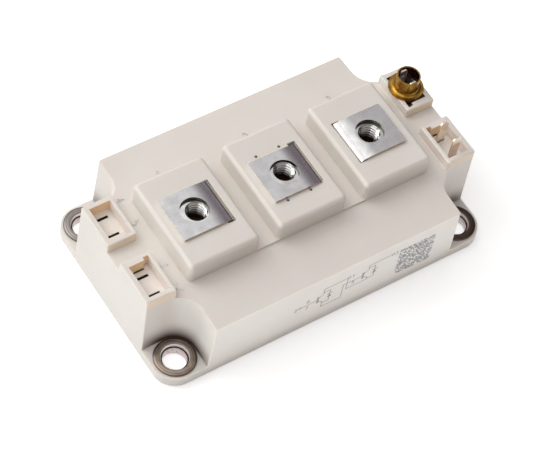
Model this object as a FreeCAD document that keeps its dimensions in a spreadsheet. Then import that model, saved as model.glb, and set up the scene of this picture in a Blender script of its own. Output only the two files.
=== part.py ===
import FreeCAD, Part
import math
import os
import Sketcher

# Power module with three screw terminals and four sockets for control tabs.
# X runs along the row of terminals, Y from front to back, Z up.
# The origin is the middle of the base plate's underside. Lengths are in millimetres.

# Sizes: one named value for each length that can be chosen by itself
SIZES = {
    # housing
    "housing_length": 106.4,
    "housing_width": 61.4,
    "housing_bottom": 0.4,
    "ear_top": 3.7,
    "ear_radius": 6.7,
    "wall_top": 22.0,
    "wall_lean": 0.15,
    "deck_top": 22.9,
    "rim_wall": 1.2,
    "side_wall": 1.8,
    "roof_thickness": 1.8,
    "notch_radius": 6.2,
    "notch_draft": 2.0,
    "mould_edge": 0.35,
    # mounting holes
    "bush_bore": 6.6,
    "bush_wall": 0.8,
    "bush_lip": 0.9,
    "bush_flange": 12.0,
    "bush_flange_thickness": 0.8,
    "bush_recess": 0.3,
    "bush_clearance": 0.05,
    # base plate and seal
    "plate_thickness": 3.0,
    "plate_clearance": 0.1,
    "plate_chamfer": 0.4,
    "seal_thickness": 0.2,
    "seal_width": 0.9,
    "seal_inset": 0.2,
    # terminal pedestals
    "plinth_height": 0.7,
    "pedestal_length": 21.7,
    "pedestal_gap_extra": 1.05,
    "pedestal_depth": 30.2,
    "pedestal_top": 29.6,
    "pedestal_edge": 1.2,
    # captive nuts
    "nut_flats": 10.0,
    "nut_height": 5.0,
    "nut_sink": 0.2,
    "nut_play": 0.05,
    "nut_bore": 5.0,
    "nut_countersink": 6.9,
    "nut_corner_angle": 30.0,
    "screw_room": 6.8,
    "screw_room_depth": 2.6,
    # main terminals
    "terminal_thickness": 0.9,
    "terminal_length": 14.9,
    "terminal_width": 14.1,
    "terminal_corner": 0.5,
    "terminal_hole": 8.2,
    "terminal_bend": 0.3,
    "leg_width": 11.0,
    "foot_length": 4.1,
    "slot_length": 14.8,
    "slot_start": 5.5,
    "slot_width": 2.4,
    "terminal_play_left": 0.7,
    "terminal_play_middle": 0.6,
    "terminal_play_right": 0.05,
    "terminal_offset_left": 0.05,
    "terminal_offset_middle": 0.85,
    "terminal_offset_right": 0.25,
    "peg_hole": 0.9,
    "peg_hole_depth": 1.2,
    "peg_pitch_long": 7.4,
    "peg_pitch_wide": 16.1,
    # sockets for the control tabs
    "socket_length": 9.1,
    "well_extra": 7.4,
    "socket_top": 26.0,
    "well_inner_rim": 1.1,
    "well_outer_rim": 1.6,
    "well_middle_rim": 2.0,
    "well_end_rim": 2.2,
    "well_floor": 22.2,
    "key_length": 1.6,
    "key_width": 1.0,
    "slit_length": 3.3,
    "slit_width": 0.8,
    "drain_width": 0.5,
    "drain_depth": 0.8,
    # control tabs
    "tab_width": 2.8,
    "tab_thickness": 0.5,
    "tab_top": 30.8,
    "tab_end_room": 4.5,
    "tab_row_shift": 0.15,
    "tab_chamfer": 0.6,
    "tab_dimple": 1.1,
    "tab_dimple_depth": 0.12,
    "tab_dimple_drop": 2.2,
    "arm_bottom": 10.6,
    "arm_width": 2.0,
    "tab_foot_width": 1.6,
    # shorting eyelet
    "eyelet_bore": 6.0,
    "eyelet_wall": 0.4,
    "eyelet_flange": 10.2,
    "eyelet_top": 31.2,
    "eyelet_bend": 1.0,
    "eyelet_play": 0.05,
    # circuit inside
    "ceramic_end_room": 1.5,
    "ceramic_side_room": 3.75,
    "ceramic_thickness": 0.4,
    "ceramic_gap": 1.6,
    "copper_thickness": 0.3,
    "copper_inset": 1.0,
    "middle_track_width": 14.8,
    "track_gap": 0.8,
    "control_pad_length": 2.6,
    "control_pad_width": 2.4,
    "transistor_size": 9.5,
    "diode_size": 7.0,
    "chip_thickness": 0.25,
    "chip_margin": 1.2,
    "wire_thickness": 0.4,
    "wire_pitch": 2.6,
    "wire_rise": 1.8,
    "wire_landing": 0.5,
    "gel_top": 9.5,
    "gel_clearance": 0.3,
    "gel_head_room": 0.5,
}


class Size:
    """A length that keeps both its value and the sheet expression that gives it."""

    def __init__(self, value, text):
        self.value = value
        self.text = text

    def __add__(self, other):
        other = as_size(other)
        return Size(self.value + other.value, f"({self.text} + {other.text})")

    def __sub__(self, other):
        other = as_size(other)
        return Size(self.value - other.value, f"({self.text} - {other.text})")

    def __mul__(self, other):
        other = as_size(other)
        return Size(self.value * other.value, f"({self.text} * {other.text})")

    def __truediv__(self, other):
        other = as_size(other)
        return Size(self.value / other.value, f"({self.text} / {other.text})")

    def __neg__(self):
        return Size(-self.value, f"(0 - {self.text})")

    __radd__ = __add__
    __rmul__ = __mul__


def as_size(number):
    return number if isinstance(number, Size) else Size(float(number), repr(float(number)))


def root(length):
    return Size(math.sqrt(length.value), f"sqrt({length.text})")


def tangent(angle):
    return Size(math.tan(math.radians(angle.value)), f"tan({angle.text} * 1 deg)")


def smaller(first, second):
    first = as_size(first)
    second = as_size(second)
    return Size(min(first.value, second.value), f"min({first.text}; {second.text})")


doc = FreeCAD.newDocument("PowerModule")
sheet = doc.addObject("Spreadsheet::Sheet", "Sizes")
for row, (name, value) in enumerate(SIZES.items(), 1):
    sheet.set(f"A{row}", name)
    sheet.set(f"B{row}", str(value))
    sheet.setAlias(f"B{row}", name)
doc.recompute()


def size(name):
    return Size(float(sheet.get(name)), f"Sizes.{name}")


def bind(item, target, length):
    item.setExpression(target, as_size(length).text)


# Sketches: every corner is placed from the sketch's origin by two bound distances
def pin(sketch, geometry, point, x, y):
    for kind, length in (("DistanceX", as_size(x)), ("DistanceY", as_size(y))):
        rule = Sketcher.Constraint(kind, -1, 1, geometry, point, length.value)
        bind(sketch, f"Constraints[{sketch.addConstraint(rule)}]", length)


def outline(sketch, corners):
    """A closed loop of straight lines. A corner with a third entry, the centre and radius
    of a circle, starts an arc to the next corner instead of a line."""
    spots = [FreeCAD.Vector(as_size(c[0]).value, as_size(c[1]).value, 0) for c in corners]
    ends = []
    for index, corner in enumerate(corners):
        start = spots[index]
        finish = spots[(index + 1) % len(corners)]
        if len(corner) == 2:
            geometry = sketch.addGeometry(Part.LineSegment(start, finish), False)
            ends.append((geometry, 1, 2))
            continue
        centre_x, centre_y, radius = corner[2]
        centre = FreeCAD.Vector(centre_x.value, centre_y.value, 0)
        halfway = (start + finish) * 0.5 - centre
        halfway.normalize()
        arc = Part.Arc(start, centre + halfway * radius.value, finish)
        geometry = sketch.addGeometry(arc, False)
        swapped = sketch.getPoint(geometry, 1).distanceToPoint(finish) < 1e-6
        ends.append((geometry, 2, 1) if swapped else (geometry, 1, 2))
        rule = Sketcher.Constraint("Radius", geometry, radius.value)
        bind(sketch, f"Constraints[{sketch.addConstraint(rule)}]", radius)
    for index, (geometry, first, last) in enumerate(ends):
        following, opening, unused = ends[(index + 1) % len(ends)]
        sketch.addConstraint(Sketcher.Constraint("Coincident", geometry, last, following, opening))
        pin(sketch, geometry, first, corners[index][0], corners[index][1])


def rectangle(sketch, left, right, low, high):
    outline(sketch, [(left, low), (right, low), (right, high), (left, high)])


def rounded_rectangle(sketch, half_x, half_y, radius):
    corners = []
    for side, end in ((1, -1), (1, 1), (-1, 1), (-1, -1)):
        turn = (side * (half_x - radius), end * (half_y - radius), radius)
        beside = (side * half_x, end * (half_y - radius))
        across = (side * (half_x - radius), end * half_y)
        if side * end < 0:
            corners += [(*across, turn), beside]
        else:
            corners += [(*beside, turn), across]
    outline(sketch, corners)


def circle(sketch, x, y, diameter):
    centre = FreeCAD.Vector(as_size(x).value, as_size(y).value, 0)
    round_line = Part.Circle(centre, FreeCAD.Vector(0, 0, 1), diameter.value / 2)
    geometry = sketch.addGeometry(round_line, False)
    pin(sketch, geometry, 3, x, y)
    rule = Sketcher.Constraint("Diameter", geometry, diameter.value)
    bind(sketch, f"Constraints[{sketch.addConstraint(rule)}]", diameter)


# Bodies and their features
def new_body(label):
    body = doc.addObject("PartDesign::Body", "Body")
    body.Label = label
    return body


def new_sketch(body, plane, height=None):
    sketch = body.newObject("Sketcher::SketchObject", "Sketch")
    flat = next(item for item in body.Origin.OriginFeatures if item.Role == plane)
    sketch.AttachmentSupport = (flat, [""])
    sketch.MapMode = "FlatFace"
    if height is not None:
        bind(sketch, "AttachmentOffset.Base.z", height)
    return sketch


def finish(body, feature):
    body.Tip = feature
    doc.recompute()
    if "Invalid" in feature.State or "Error" in feature.State:
        raise RuntimeError(f"{feature.Name} of {body.Label} failed: {feature.getStatusString()}")
    return feature


def pad(body, sketch, length, both_ways=False):
    doc.recompute()
    feature = body.newObject("PartDesign::Pad", "Pad")
    feature.Profile = sketch
    if both_ways:
        feature.SideType = "Symmetric"
    bind(feature, "Length", length)
    return finish(body, feature)


def pocket(body, sketch, length, upward=False, both_ways=False, draft=None):
    doc.recompute()
    before = body.Shape.Volume
    feature = body.newObject("PartDesign::Pocket", "Pocket")
    feature.Profile = sketch
    feature.Reversed = upward
    if both_ways:
        feature.SideType = "Symmetric"
    if draft is not None:
        bind(feature, "TaperAngle", draft)
    bind(feature, "Length", length)
    finish(body, feature)
    if not body.Shape.Volume < before:
        raise RuntimeError(f"a pocket of {body.Label} cuts nothing")
    return feature


def revolve(body, sketch):
    doc.recompute()
    feature = body.newObject("PartDesign::Revolution", "Revolution")
    feature.Profile = sketch
    feature.ReferenceAxis = (sketch, ["V_Axis"])
    feature.Angle = 360
    return finish(body, feature)


def soften(body, kind, length, test):
    """A fillet or chamfer on each edge whose middle point passes the test."""
    names = []
    for number, edge in enumerate(body.Shape.Edges, 1):
        middle = edge.valueAt((edge.FirstParameter + edge.LastParameter) / 2)
        if test(edge, middle):
            names.append(f"Edge{number}")
    if not names:
        raise RuntimeError(f"{body.Label} has no edge to soften")
    base = body.Tip
    feature = body.newObject(f"PartDesign::{kind}", kind)
    feature.Base = (base, names)
    bind(feature, "Radius" if kind == "Fillet" else "Size", length)
    return finish(body, feature)


def near(first, second, limit=0.01):
    return abs(first - second) < limit


def upright(edge):
    box = edge.BoundBox
    return box.ZLength > 0.05 and box.XLength + box.YLength < 0.25 * box.ZLength


# Places that several pieces share
half_length = size("housing_length") / 2
half_width = size("housing_width") / 2
mount_x = half_length - size("ear_radius")
mount_y = half_width - size("ear_radius")
recess_ceiling = size("plate_thickness") + size("seal_thickness")
cavity_top = size("wall_top") - size("roof_thickness")
plate_half_length = half_length - size("rim_wall") - size("plate_clearance")
plate_half_width = half_width - size("rim_wall") - size("plate_clearance")
plate_radius = size("ear_radius") - size("rim_wall") - size("plate_clearance")
bush_outer = size("bush_bore") + 2 * size("bush_wall")
bush_seat = bush_outer + 2 * size("bush_clearance")
terminal_top = size("pedestal_top") + size("terminal_thickness")
nut_bottom = size("pedestal_top") - size("nut_sink") - size("nut_height")
socket_inner = half_length - size("socket_length")
deck_room = 2 * socket_inner - 3 * size("pedestal_length")
pitch = size("pedestal_length") + (deck_room + 2 * size("pedestal_gap_extra")) / 4
well_left = socket_inner + size("well_inner_rim")
well_right = half_length - size("well_outer_rim")
socket_room = mount_y - size("notch_radius") - size("well_middle_rim") - size("well_end_rim")
socket_near = (socket_room - size("well_extra")) / 2
well_near = socket_near + size("well_middle_rim")
well_far = well_near + socket_near + size("well_extra")
tab_x = (well_left + well_right) / 2
tab_row = (well_near + well_far) / 2 + size("tab_row_shift")
tab_pitch = well_far - well_near - size("tab_end_room")
CORNERS = ((-1, -1), (1, -1), (-1, 1), (1, 1))
MOUNTS = (("front_left", -1, -1), ("front_right", 1, -1), ("rear_left", -1, 1), ("rear_right", 1, 1))

# Housing: a roofed block from its end view, then the sockets on the end decks
housing = new_body("housing")
sketch = new_sketch(housing, "YZ_Plane")
roof_y = size("pedestal_depth") / 2
leaning = half_width - size("wall_lean")
outline(sketch, [
    (-half_width, size("housing_bottom")),
    (half_width, size("housing_bottom")),
    (half_width, size("ear_top")),
    (leaning, size("wall_top")),
    (roof_y, size("deck_top")),
    (-roof_y, size("deck_top")),
    (-leaning, size("wall_top")),
    (-half_width, size("ear_top")),
])
pad(housing, sketch, size("housing_length"), both_ways=True)
sketch = new_sketch(housing, "XY_Plane", size("deck_top") - size("roof_thickness") / 2)
for side, end in CORNERS:
    rectangle(sketch, side * socket_inner, side * half_length, end * socket_near, end * mount_y)
pad(housing, sketch, size("socket_top") - size("deck_top") + size("roof_thickness") / 2)

# Corner notches over the ears, round about the mounting holes, with a mould's draft
sketch = new_sketch(housing, "XY_Plane", size("ear_top"))
for side, end in CORNERS:
    wall_x = side * (mount_x - size("notch_radius"))
    wall_y = end * (mount_y - size("notch_radius"))
    beyond_x = side * (half_length + size("notch_radius"))
    beyond_y = end * (half_width + size("notch_radius"))
    turn = (side * mount_x, end * mount_y, size("notch_radius"))
    outline(sketch, [
        (wall_x, end * mount_y, turn),
        (side * mount_x, wall_y),
        (beyond_x, wall_y),
        (beyond_x, beyond_y),
        (wall_x, beyond_y),
    ])
notch_height = size("socket_top") - size("ear_top") + 1
pocket(housing, sketch, notch_height, upward=True, draft=size("notch_draft"))
soften(housing, "Fillet", size("ear_radius"), lambda edge, spot: upright(edge)
       and near(abs(spot.x), half_length.value) and near(abs(spot.y), half_width.value))

# Plinth and terminal pedestals
sketch = new_sketch(housing, "XY_Plane", size("deck_top"))
row_half = pitch + size("pedestal_length") / 2
rectangle(sketch, -row_half, row_half, -roof_y, roof_y)
pad(housing, sketch, size("plinth_height"))
sketch = new_sketch(housing, "XY_Plane", size("deck_top"))
for step in (-1, 0, 1):
    middle = step * pitch
    rectangle(sketch, middle - size("pedestal_length") / 2, middle + size("pedestal_length") / 2,
              -roof_y, roof_y)
pad(housing, sketch, size("pedestal_top") - size("deck_top"))
pedestal_floor = size("deck_top").value + size("plinth_height").value
soften(housing, "Fillet", size("pedestal_edge"), lambda edge, spot: near(spot.z, size("pedestal_top").value)
       or (upright(edge) and spot.z > pedestal_floor and near(abs(spot.y), roof_y.value)))


# Small moulded edges on the outside: upright corners, ear rims and socket rims
def outside_edge(edge, spot):
    on_socket = abs(spot.x) > socket_inner.value - 0.1 and spot.z > size("deck_top").value
    at_end = near(abs(spot.x), half_length.value)
    at_side = near(abs(spot.y), half_width.value, size("wall_lean").value + 0.1)
    corner = upright(edge) and spot.z > size("ear_top").value and (at_end or at_side or on_socket)
    return corner or near(spot.z, size("socket_top").value)


soften(housing, "Fillet", size("mould_edge"), outside_edge)

# Open underside: a recess that takes the base plate, and a cross-shaped hollow over it
sketch = new_sketch(housing, "XY_Plane", size("housing_bottom"))
rounded_rectangle(sketch, half_length - size("rim_wall"), half_width - size("rim_wall"),
                  size("ear_radius") - size("rim_wall"))
pocket(housing, sketch, recess_ceiling - size("housing_bottom"), upward=True)
draft_in = (cavity_top - size("ear_top")) * tangent(size("notch_draft"))
hollow_x = mount_x - size("notch_radius") - draft_in - size("side_wall")
hollow_y = mount_y - size("notch_radius") - draft_in - size("side_wall")
hollow_end = half_length - size("side_wall")
hollow_side = half_width - size("wall_lean") - size("side_wall")
sketch = new_sketch(housing, "XY_Plane", size("housing_bottom"))
outline(sketch, [
    (-hollow_end, -hollow_y),
    (-hollow_x, -hollow_y),
    (-hollow_x, -hollow_side),
    (hollow_x, -hollow_side),
    (hollow_x, -hollow_y),
    (hollow_end, -hollow_y),
    (hollow_end, hollow_y),
    (hollow_x, hollow_y),
    (hollow_x, hollow_side),
    (-hollow_x, hollow_side),
    (-hollow_x, hollow_y),
    (-hollow_end, hollow_y),
])
pocket(housing, sketch, cavity_top - size("housing_bottom"), upward=True)

# Socket wells with a key slot in one corner, two tab slits and a drain groove in the floor
sketch = new_sketch(housing, "XY_Plane", size("socket_top"))
for side, end in CORNERS:
    outline(sketch, [
        (side * well_left, end * (well_near - size("key_width"))),
        (side * (well_left + size("key_length")), end * (well_near - size("key_width"))),
        (side * (well_left + size("key_length")), end * well_near),
        (side * well_right, end * well_near),
        (side * well_right, end * well_far),
        (side * well_left, end * well_far),
    ])
pocket(housing, sketch, size("socket_top") - size("well_floor"))
sketch = new_sketch(housing, "XY_Plane", size("well_floor"))
for side, end in CORNERS:
    for step in (-1, 1):
        slit_y = end * (tab_row + step * tab_pitch / 2)
        rectangle(sketch, side * tab_x - size("slit_length") / 2, side * tab_x + size("slit_length") / 2,
                  slit_y - size("slit_width") / 2, slit_y + size("slit_width") / 2)
pocket(housing, sketch, size("well_floor") - cavity_top)
sketch = new_sketch(housing, "XY_Plane", size("well_floor"))
for side, end in CORNERS:
    rectangle(sketch, side * tab_x - size("slit_length") / 2, side * tab_x + size("slit_length") / 2,
              end * well_near, end * (well_near + size("drain_width")))
pocket(housing, sketch, size("drain_depth"))

# Terminal slots, nut pockets with room for the screw's end, and the peg holes
TERMINALS = (
    ("1", -1, 1, size("terminal_play_left"), size("terminal_offset_left")),
    ("2", 0, 1, size("terminal_play_middle"), size("terminal_offset_middle")),
    ("3", 1, -1, size("terminal_play_right"), size("terminal_offset_right")),
)
sketch = new_sketch(housing, "XY_Plane", size("pedestal_top"))
for number, step, leg_side, play, offset in TERMINALS:
    slot_start = step * pitch + leg_side * size("slot_start")
    rectangle(sketch, slot_start, slot_start + leg_side * size("slot_width"),
              -size("slot_length") / 2, size("slot_length") / 2)
pocket(housing, sketch, size("pedestal_top") - cavity_top)
sketch = new_sketch(housing, "XY_Plane", size("pedestal_top"))
nut_half = size("nut_flats") / 2 + size("nut_play")
nut_point = nut_half * 2 / root(as_size(3))
for step in (-1, 0, 1):
    middle = step * pitch
    outline(sketch, [
        (middle + nut_half, nut_point / 2),
        (middle, nut_point),
        (middle - nut_half, nut_point / 2),
        (middle - nut_half, -nut_point / 2),
        (middle, -nut_point),
        (middle + nut_half, -nut_point / 2),
    ])
pocket(housing, sketch, size("pedestal_top") - nut_bottom)
sketch = new_sketch(housing, "XY_Plane", nut_bottom)
for step in (-1, 0, 1):
    circle(sketch, step * pitch, 0, size("screw_room"))
pocket(housing, sketch, size("screw_room_depth"))
sketch = new_sketch(housing, "XY_Plane", size("pedestal_top"))
for side, end in CORNERS:
    circle(sketch, side * size("peg_pitch_long") / 2 - size("terminal_play_middle"),
           end * size("peg_pitch_wide") / 2 - size("terminal_offset_middle") / 2, size("peg_hole"))
pocket(housing, sketch, size("peg_hole_depth"))

# Holes in the ears for the mounting bushes
sketch = new_sketch(housing, "XY_Plane", size("ear_top"))
for side, end in CORNERS:
    circle(sketch, side * mount_x, end * mount_y, bush_seat)
pocket(housing, sketch, size("ear_top") - size("housing_bottom"))

# Base plate
base_plate = new_body("base_plate")
sketch = new_sketch(base_plate, "XY_Plane")
rounded_rectangle(sketch, plate_half_length, plate_half_width, plate_radius)
pad(base_plate, sketch, size("plate_thickness"))
sketch = new_sketch(base_plate, "XY_Plane", size("plate_thickness"))
for side, end in CORNERS:
    circle(sketch, side * mount_x, end * mount_y, bush_seat)
pocket(base_plate, sketch, size("plate_thickness"))
soften(base_plate, "Chamfer", size("plate_chamfer"), lambda edge, spot: near(spot.z, 0)
       and near(edge.BoundBox.ZLength, 0) and (abs(spot.x) > mount_x.value + bush_seat.value / 2 + 0.1
       or abs(spot.y) > mount_y.value + bush_seat.value / 2 + 0.1))

# Adhesive seal: a flat bead round the edge of the base plate, under the housing
adhesive_seal = new_body("adhesive_seal")
sketch = new_sketch(adhesive_seal, "XY_Plane", size("plate_thickness"))
seal_x = plate_half_length - size("seal_inset")
seal_y = plate_half_width - size("seal_inset")
seal_radius = plate_radius - size("seal_inset")
rounded_rectangle(sketch, seal_x, seal_y, seal_radius)
rounded_rectangle(sketch, seal_x - size("seal_width"), seal_y - size("seal_width"),
                  seal_radius - size("seal_width"))
pad(adhesive_seal, sketch, size("seal_thickness"))

# Mounting bushes: flanged tubes, turned, with a rolled inner lip
for label, side, end in MOUNTS:
    bush = new_body(f"mounting_bush_{label}")
    sketch = new_sketch(bush, "XZ_Plane")
    outline(sketch, [
        (size("bush_bore") / 2, size("bush_recess")),
        (bush_outer / 2, size("bush_recess")),
        (bush_outer / 2, size("ear_top")),
        (size("bush_flange") / 2, size("ear_top")),
        (size("bush_flange") / 2, size("ear_top") + size("bush_flange_thickness")),
        (size("bush_bore") / 2, size("ear_top") + size("bush_flange_thickness")),
    ])
    revolve(bush, sketch)
    flange_top = (size("ear_top") + size("bush_flange_thickness")).value
    soften(bush, "Fillet", size("bush_lip"), lambda edge, spot: near(spot.z, flange_top)
           and near(math.hypot(spot.x, spot.y), size("bush_bore").value / 2))
    soften(bush, "Fillet", size("bush_flange_thickness") / 4, lambda edge, spot: near(spot.z, flange_top)
           and near(math.hypot(spot.x, spot.y), size("bush_flange").value / 2))
    bind(bush, "Placement.Base.x", side * mount_x)
    bind(bush, "Placement.Base.y", end * mount_y)

# Captive nuts: hexagons with turned corners and a countersunk bore
for number, step, leg_side, play, offset in TERMINALS:
    nut = new_body(f"terminal_nut_{number}")
    sketch = new_sketch(nut, "XY_Plane")
    flat = size("nut_flats") / 2
    point = flat * 2 / root(as_size(3))
    outline(sketch, [
        (flat, point / 2),
        (as_size(0), point),
        (-flat, point / 2),
        (-flat, -point / 2),
        (as_size(0), -point),
        (flat, -point / 2),
    ])
    pad(nut, sketch, size("nut_height"))
    sketch = new_sketch(nut, "XY_Plane", size("nut_height"))
    circle(sketch, 0, 0, size("nut_bore"))
    pocket(nut, sketch, size("nut_height"))
    soften(nut, "Chamfer", (size("nut_countersink") - size("nut_bore")) / 2, lambda edge, spot:
           near(math.hypot(spot.x, spot.y), size("nut_bore").value / 2)
           and near(spot.z, size("nut_height").value))
    sketch = new_sketch(nut, "XZ_Plane")
    drop = (point - flat) * tangent(size("nut_corner_angle"))
    outline(sketch, [
        (flat, size("nut_height")),
        (point, size("nut_height") - drop),
        (point * 1.1, size("nut_height") - drop),
        (point * 1.1, size("nut_height") * 1.1),
        (flat, size("nut_height") * 1.1),
    ])
    doc.recompute()
    feature = nut.newObject("PartDesign::Groove", "Groove")
    feature.Profile = sketch
    feature.ReferenceAxis = (sketch, ["V_Axis"])
    feature.Angle = 360
    finish(nut, feature)
    bind(nut, "Placement.Base.x", step * pitch)
    bind(nut, "Placement.Base.z", nut_bottom)

# Main terminals: bent strips, each with a leg that goes down through its slot to a foot
track_top = size("plate_thickness") + 2 * size("copper_thickness") + size("ceramic_thickness")
half_terminal = size("terminal_length") / 2
outer_bend = size("terminal_bend") + size("terminal_thickness")
leg_inner = half_terminal - size("terminal_thickness")
terminal_x = {}
for number, step, leg_side, play, offset in TERMINALS:
    terminal_x[number] = step * pitch - play
    terminal = new_body(f"main_terminal_{number}")
    sketch = new_sketch(terminal, "XZ_Plane")
    foot_top = track_top + size("terminal_thickness")
    foot_end = leg_side * (half_terminal + size("foot_length"))
    outline(sketch, [
        (-leg_side * half_terminal, terminal_top),
        (leg_side * half_terminal, terminal_top),
        (leg_side * half_terminal, foot_top),
        (foot_end, foot_top),
        (foot_end, track_top),
        (leg_side * leg_inner, track_top),
        (leg_side * leg_inner, size("pedestal_top")),
        (-leg_side * half_terminal, size("pedestal_top")),
    ])
    pad(terminal, sketch, size("terminal_width"), both_ways=True)
    reach = half_terminal.value
    inner = leg_inner.value
    soften(terminal, "Fillet", size("terminal_bend"), lambda edge, spot:
           (near(spot.x, leg_side * inner) and near(spot.z, size("pedestal_top").value))
           or (near(spot.x, leg_side * reach) and near(spot.z, foot_top.value)))
    soften(terminal, "Fillet", outer_bend, lambda edge, spot: near(spot.y, 0)
           and ((near(spot.x, leg_side * reach) and near(spot.z, terminal_top.value))
           or (near(spot.x, leg_side * inner) and near(spot.z, track_top.value))))
    soften(terminal, "Fillet", size("terminal_corner"), lambda edge, spot: upright(edge)
           and near(spot.x, -leg_side * reach))
    sketch = new_sketch(terminal, "YZ_Plane")
    for end in (-1, 1):
        rectangle(sketch, end * size("leg_width") / 2, end * size("terminal_width"),
                  track_top / 2, size("pedestal_top"))
    pocket(terminal, sketch, 4 * size("terminal_length"), both_ways=True)
    sketch = new_sketch(terminal, "XY_Plane", terminal_top)
    circle(sketch, 0, 0, size("terminal_hole"))
    pocket(terminal, sketch, size("terminal_thickness"))
    bind(terminal, "Placement.Base.x", terminal_x[number])
    bind(terminal, "Placement.Base.y", -offset)


# Control tabs: flat blades with an arm to a foot on the circuit, the outline in front view
# crossed with the run of the strip in end view
def free_sketch(view):
    sketch = doc.addObject("Sketcher::SketchObject", "Sketch")
    if view == "front":
        sketch.Placement.Rotation = FreeCAD.Rotation(FreeCAD.Vector(1, 0, 0), 90)
    else:
        sketch.Placement.Rotation = FreeCAD.Rotation(FreeCAD.Vector(1, 1, 1), 120)
    return sketch


def extrude(sketch, length):
    doc.recompute()
    solid = doc.addObject("Part::Extrusion", "Extrusion")
    solid.Base = sketch
    solid.DirMode = "Normal"
    solid.Solid = True
    solid.Symmetric = True
    bind(solid, "LengthFwd", length)
    return solid


half_tab = size("tab_width") / 2
half_strip = size("tab_thickness") / 2
ceramic_start = size("ceramic_gap") / 2
ceramic_end = hollow_x - size("ceramic_end_room")
copper_end = ceramic_end - size("copper_inset")
pad_x = copper_end - size("control_pad_length") / 2
arm_top = size("arm_bottom") + size("arm_width")
spread = root(size("eyelet_bore") * size("eyelet_bore") / 4 - half_tab * half_tab)
leaning_y = spread - half_strip - size("eyelet_play")
TABS = (("front_inner", -1, -1), ("front_outer", -1, 1), ("rear_inner", 1, -1), ("rear_outer", 1, 1))
for label, end, step in TABS:
    front = free_sketch("front")
    outline(front, [
        (pad_x - size("tab_foot_width") / 2, track_top),
        (pad_x + size("tab_foot_width") / 2, track_top),
        (pad_x + size("tab_foot_width") / 2, size("arm_bottom")),
        (tab_x + half_tab, size("arm_bottom")),
        (tab_x + half_tab, size("tab_top") - size("tab_chamfer")),
        (tab_x + half_tab - size("tab_chamfer"), size("tab_top")),
        (tab_x - half_tab + size("tab_chamfer"), size("tab_top")),
        (tab_x - half_tab, size("tab_top") - size("tab_chamfer")),
        (tab_x - half_tab, arm_top),
        (pad_x - size("tab_foot_width") / 2, arm_top),
    ])
    foot_y = end * (tab_row + step * tab_pitch / 2)
    tip_y = end * (tab_row + step * leaning_y) if end > 0 else foot_y
    side_view = free_sketch("end")
    if end > 0:
        outline(side_view, [
            (foot_y - half_strip, track_top),
            (foot_y + half_strip, track_top),
            (foot_y + half_strip, size("well_floor")),
            (tip_y + half_strip, size("socket_top")),
            (tip_y + half_strip, size("tab_top")),
            (tip_y - half_strip, size("tab_top")),
            (tip_y - half_strip, size("socket_top")),
            (foot_y - half_strip, size("well_floor")),
        ])
    else:
        rectangle(side_view, foot_y - half_strip, foot_y + half_strip, track_top, size("tab_top"))
    crossed = [extrude(front, 2 * size("housing_width")), extrude(side_view, 2 * size("housing_length"))]
    blade = doc.addObject("Part::MultiCommon", "Blade")
    blade.Shapes = crossed
    dimple = doc.addObject("Part::Cylinder", "Dimple")
    bind(dimple, "Radius", size("tab_dimple") / 2)
    bind(dimple, "Height", size("tab_dimple_depth"))
    dimple.Placement.Rotation = FreeCAD.Rotation(FreeCAD.Vector(1, 0, 0), -90)
    bind(dimple, "Placement.Base.x", tab_x)
    bind(dimple, "Placement.Base.y", tip_y - half_strip)
    bind(dimple, "Placement.Base.z", size("tab_top") - size("tab_dimple_drop"))
    tab = doc.addObject("Part::Cut", "Tab")
    tab.Base = blade
    tab.Tool = dimple
    tab.Label = f"control_tab_{label}"

# Shorting eyelet: drawn sheet, a flange on the socket's rim and a tube round two tabs
shorting_eyelet = new_body("shorting_eyelet")
sketch = new_sketch(shorting_eyelet, "XZ_Plane")
tube_inner = size("eyelet_bore") / 2
tube_outer = tube_inner + size("eyelet_wall")
flange_top = size("socket_top") + size("eyelet_wall")
outline(sketch, [
    (tube_inner, size("socket_top")),
    (size("eyelet_flange") / 2, size("socket_top")),
    (size("eyelet_flange") / 2, flange_top),
    (tube_outer, flange_top),
    (tube_outer, size("eyelet_top")),
    (tube_inner, size("eyelet_top")),
])
revolve(shorting_eyelet, sketch)
soften(shorting_eyelet, "Fillet", size("eyelet_bend"), lambda edge, spot: near(spot.z, flange_top.value)
       and near(math.hypot(spot.x, spot.y), tube_outer.value))
soften(shorting_eyelet, "Fillet", size("eyelet_bend") + size("eyelet_wall"), lambda edge, spot:
       near(spot.z, size("socket_top").value) and near(math.hypot(spot.x, spot.y), tube_inner.value))
bind(shorting_eyelet, "Placement.Base.x", tab_x)
bind(shorting_eyelet, "Placement.Base.y", tab_row)


# Circuit inside: copper, ceramic and copper again on the base plate, with chips on top
def block(label, left, right, low, high, bottom, height):
    solid = doc.addObject("Part::Box", "Box")
    solid.Label = label
    bind(solid, "Length", right - left)
    bind(solid, "Width", high - low)
    bind(solid, "Height", height)
    bind(solid, "Placement.Base.x", left)
    bind(solid, "Placement.Base.y", low)
    bind(solid, "Placement.Base.z", bottom)
    return solid


ceramic_bottom = size("plate_thickness") + size("copper_thickness")
track_bottom = ceramic_bottom + size("ceramic_thickness")
chip_top = track_top + size("chip_thickness")
half_ceramic = hollow_side - size("ceramic_side_room")
half_copper = half_ceramic - size("copper_inset")
copper_start = ceramic_start + size("copper_inset")
track_end = copper_end - size("control_pad_length") - size("track_gap")
side_track = size("middle_track_width") / 2 + size("track_gap")
chip_row = (side_track + half_copper) / 2
chip_spacing = (track_end - copper_start - (size("transistor_size") + size("diode_size")) / 2
                - 2 * size("chip_margin"))
second_foot = terminal_x["2"] + half_terminal + size("foot_length")
third_foot = terminal_x["3"] - half_terminal - size("foot_length")
track_split = (second_foot + third_foot) / 2


def layer(label, left, right, low, high, bottom, height, side):
    """A block given for the right half, or its mirror image in the left half."""
    if side < 0:
        left, right = -right, -left
    return block(label, left, right, low, high, bottom, height)


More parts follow.
